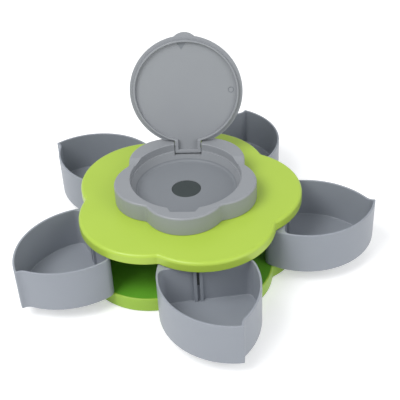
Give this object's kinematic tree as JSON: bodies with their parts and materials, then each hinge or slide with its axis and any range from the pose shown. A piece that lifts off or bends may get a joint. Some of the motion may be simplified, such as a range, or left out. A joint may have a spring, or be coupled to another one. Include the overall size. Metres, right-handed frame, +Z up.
{
  "type": "rotating candy box",
  "caption": "Flower-shaped serving box: turning the knob swings petal boxes out from between a base and a cover; the knob holds a dish under a hinged lid.",
  "frame": {"origin": "on the knob's axis, at the table, in the middle of the sole of the centre foot", "axes": "+Z up along the knob's axis; +X along one lobe of the cover and base"},
  "size_m": [0.3623, 0.3635, 0.2097],
  "materials": {
    "green_plastic": "satin moulded polypropylene, apple green",
    "box_plastic": "satin moulded polypropylene, light grey",
    "knob_plastic": "satin moulded polypropylene, grey",
    "cap_plastic": "matt moulded plastic, dark grey",
    "gear_plastic": "moulded acetal, dark grey",
    "inner_plastic": "moulded plastic, dark grey",
    "foot_rubber": "soft rubber",
    "fastener_steel": "zinc-plated steel"
  },
  "bodies": {
    "base": {"base_tray": "green_plastic", "top_cover": "green_plastic", "hub_column": "inner_plastic", "center_washer": "fastener_steel", "center_screw": "fastener_steel", "hub_screw_1": "fastener_steel", "hub_screw_2": "fastener_steel", "hub_screw_3": "fastener_steel", "pivot_post_1": "inner_plastic", "pivot_post_2": "inner_plastic", "pivot_post_3": "inner_plastic", "pivot_post_4": "inner_plastic", "pivot_post_5": "inner_plastic", "post_screw_1": "fastener_steel", "post_screw_2": "fastener_steel", "post_screw_3": "fastener_steel", "post_screw_4": "fastener_steel", "post_screw_5": "fastener_steel", "rubber_foot_1": "foot_rubber", "rubber_foot_2": "foot_rubber", "rubber_foot_3": "foot_rubber", "rubber_foot_4": "foot_rubber", "rubber_foot_5": "foot_rubber", "rubber_foot_6": "foot_rubber"},
    "knob": {"knob_dish": "knob_plastic", "drive_gear": "gear_plastic", "center_cap": "cap_plastic", "lid_hinge_pin_1": "fastener_steel", "lid_hinge_pin_2": "fastener_steel"},
    "lid": {"lid": "knob_plastic"},
    "box_1": {"petal_box_1": "box_plastic", "toothed_quadrant_1": "gear_plastic"},
    "box_2": {"petal_box_2": "box_plastic", "toothed_quadrant_2": "gear_plastic"},
    "box_3": {"petal_box_3": "box_plastic", "toothed_quadrant_3": "gear_plastic"},
    "box_4": {"petal_box_4": "box_plastic", "toothed_quadrant_4": "gear_plastic"},
    "box_5": {"petal_box_5": "box_plastic", "toothed_quadrant_5": "gear_plastic"}
  },
  "joints": [
    {"name": "knob_turn", "type": "hinge", "parent": "base", "child": "knob", "pos_m": [0, 0, 0.08], "axis": [0, 0, 1], "range_deg": [-48.53, 0]},
    {"name": "lid_hinge", "type": "hinge", "parent": "knob", "child": "lid", "pos_m": [0.00543, 0.05673, 0.0942], "axis": [0.9954, -0.0954, 0], "range_deg": [0, 102.8]},
    {"name": "box_1_swing", "type": "hinge", "parent": "base", "child": "box_1", "pos_m": [-0.02255, -0.09515, 0.04], "axis": [0, 0, 1], "range_deg": [0, 74.14]},
    {"name": "box_2_swing", "type": "hinge", "parent": "base", "child": "box_2", "pos_m": [0.08353, -0.05085, 0.04], "axis": [0, 0, 1], "range_deg": [0, 74.14]},
    {"name": "box_3_swing", "type": "hinge", "parent": "base", "child": "box_3", "pos_m": [0.07417, 0.06373, 0.04], "axis": [0, 0, 1], "range_deg": [0, 74.14]},
    {"name": "box_4_swing", "type": "hinge", "parent": "base", "child": "box_4", "pos_m": [-0.03769, 0.09023, 0.04], "axis": [0, 0, 1], "range_deg": [0, 74.14]},
    {"name": "box_5_swing", "type": "hinge", "parent": "base", "child": "box_5", "pos_m": [-0.09746, -0.00796, 0.04], "axis": [0, 0, 1], "range_deg": [0, 74.14]}
  ],
  "couplings": [
    {"joint": "box_1_swing", "follows": "knob_turn", "ratio": -1.5278},
    {"joint": "box_2_swing", "follows": "knob_turn", "ratio": -1.5278},
    {"joint": "box_3_swing", "follows": "knob_turn", "ratio": -1.5278},
    {"joint": "box_4_swing", "follows": "knob_turn", "ratio": -1.5278},
    {"joint": "box_5_swing", "follows": "knob_turn", "ratio": -1.5278}
  ]
}
